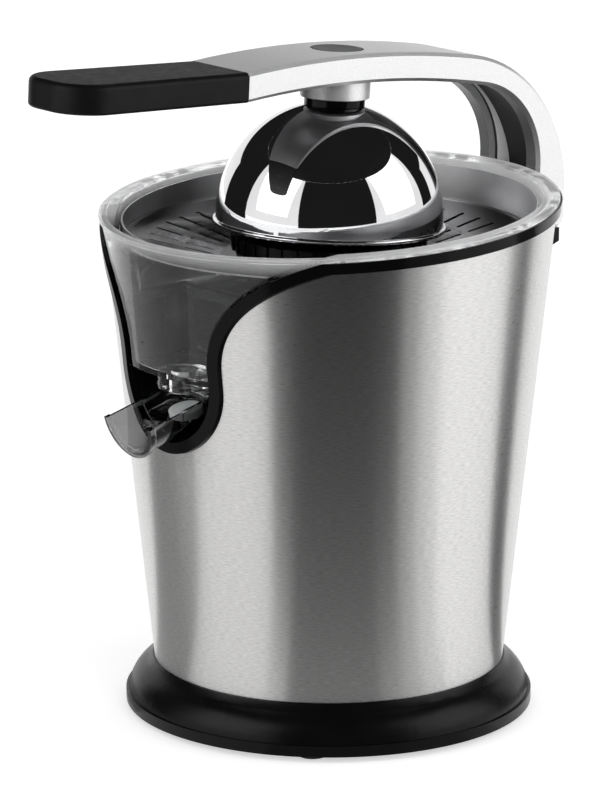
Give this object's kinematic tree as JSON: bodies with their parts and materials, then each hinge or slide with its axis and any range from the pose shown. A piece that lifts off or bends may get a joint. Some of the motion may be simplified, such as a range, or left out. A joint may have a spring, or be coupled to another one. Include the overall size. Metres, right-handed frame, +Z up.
{
  "type": "lever citrus juicer",
  "caption": "Free-standing electric citrus juicer: tapered brushed steel body on a flared base, slotted sieve, turning reamer, tipping clear spout and a rear-hinged lever with a press dome.",
  "frame": {"origin": "middle of the base, on the surface that the feet stand on", "axes": "+Z up along the reamer's axis, -Y to the front where the spout and the grip are, +X to the right seen from the front"},
  "size_m": [0.1962, 0.2679, 0.2896],
  "materials": {
    "base_black": "semi-gloss moulded black",
    "rubber_black": "matt black rubber",
    "screw_steel": "zinc plated steel",
    "shell_steel": "horizontally brushed stainless steel",
    "trim_black": "gloss black",
    "pin_steel": "ground steel",
    "clear_plastic": "clear polished",
    "sieve_steel": "polished stainless steel",
    "reamer_black": "satin black",
    "inner_plastic": "moulded dark grey",
    "seal_silicone": "pale silicone",
    "bush_bronze": "sintered bronze",
    "gear_nylon": "moulded nylon",
    "motor_steel": "bare laminated steel",
    "frame_alloy": "die cast",
    "winding_copper": "enamelled copper wire",
    "arm_silver": "silver metallic paint",
    "liner_black": "satin black",
    "cap_grey": "dark grey",
    "grip_black": "soft-touch black",
    "dome_chrome": "mirror chrome",
    "bolt_steel": "plated steel"
  },
  "bodies": {
    "body": {"base_ring": "base_black", "base_plate": "base_black", "rubber_feet": "rubber_black", "base_screws": "screw_steel", "cord_gland": "rubber_black", "body_shell": "shell_steel", "top_trim": "trim_black", "spout_recess": "base_black", "spout_pin": "pin_steel", "juice_bowl": "clear_plastic", "sieve": "sieve_steel", "sieve_wall": "sieve_steel", "inner_deck": "inner_plastic", "deck_screws": "screw_steel", "spindle_seal": "seal_silicone", "hinge_bracket": "base_black", "bracket_screws": "screw_steel", "hinge_bush": "bush_bronze", "gear_case_base": "inner_plastic", "spindle_lower_bush": "bush_bronze", "gear_case_cover": "inner_plastic", "spindle_upper_bush": "bush_bronze", "return_spring": "pin_steel", "start_switch": "inner_plastic", "idler_axle": "pin_steel", "motor_upper_frame": "frame_alloy", "motor_lower_frame": "frame_alloy", "motor_screws": "screw_steel", "motor_upper_bush": "bush_bronze", "motor_lower_bush": "bush_bronze", "stator": "motor_steel", "upper_winding": "winding_copper", "lower_winding": "winding_copper"},
    "lever": {"lever_arm": "arm_silver", "arm_liner": "liner_black", "arm_cap": "cap_grey", "grip": "grip_black", "grip_screws": "screw_steel", "press_dome": "dome_chrome", "dome_neck": "trim_black", "lever_collar": "arm_silver", "dome_washer": "bolt_steel", "dome_bolt": "bolt_steel", "dome_nut": "bolt_steel", "hinge_pin": "pin_steel"},
    "spout": {"spout": "clear_plastic", "spout_seal": "seal_silicone"},
    "motor_rotor": {"rotor": "motor_steel", "motor_shaft": "pin_steel", "motor_pinion": "pin_steel", "cooling_fan": "inner_plastic"},
    "idler": {"idler_gear": "gear_nylon", "idler_pinion": "gear_nylon"},
    "output": {"output_gear": "gear_nylon"},
    "press_carriage": {"thrust_collar": "inner_plastic"},
    "reamer": {"reamer": "reamer_black", "drive_spindle": "pin_steel", "spindle_clip": "pin_steel"},
    "plunger": {"switch_plunger": "inner_plastic"}
  },
  "joints": [
    {"name": "lever_hinge", "type": "hinge", "parent": "body", "child": "lever", "pos_m": [0, 0.11, 0.207], "axis": [-1, 0, 0], "range_deg": [0, 70]},
    {"name": "spout_tilt", "type": "hinge", "parent": "body", "child": "spout", "pos_m": [0, -0.06638, 0.1457], "axis": [-1, 0, 0], "range_deg": [0, 24]},
    {"name": "rotor_spin", "type": "hinge", "parent": "body", "child": "motor_rotor", "pos_m": [0.01331, 0.01345, 0.08], "axis": [0, 0, 1], "continuous": true},
    {"name": "idler_spin", "type": "hinge", "parent": "body", "child": "idler", "pos_m": [0, 0.042, 0.125], "axis": [0, 0, 1], "continuous": true},
    {"name": "output_spin", "type": "hinge", "parent": "body", "child": "output", "pos_m": [0, 0, 0.134], "axis": [0, 0, 1], "continuous": true},
    {"name": "reamer_press", "type": "slide", "parent": "body", "child": "press_carriage", "axis": [0, 0, -1], "range_m": [0, 0.0025], "stiffness_N_per_m": 2000, "springref_m": -0.004, "deforming": ["return_spring"]},
    {"name": "reamer_spin", "type": "hinge", "parent": "press_carriage", "child": "reamer", "pos_m": [0, 0, 0.17], "axis": [0, 0, 1], "continuous": true},
    {"name": "plunger_press", "type": "slide", "parent": "body", "child": "plunger", "axis": [0, 0, -1], "range_m": [0, 0.0025]}
  ],
  "couplings": [
    {"joint": "idler_spin", "follows": "rotor_spin", "ratio": -0.25},
    {"joint": "output_spin", "follows": "rotor_spin", "ratio": 0.083333},
    {"joint": "reamer_spin", "follows": "rotor_spin", "ratio": 0.083333},
    {"joint": "plunger_press", "follows": "reamer_press", "ratio": 1}
  ]
}
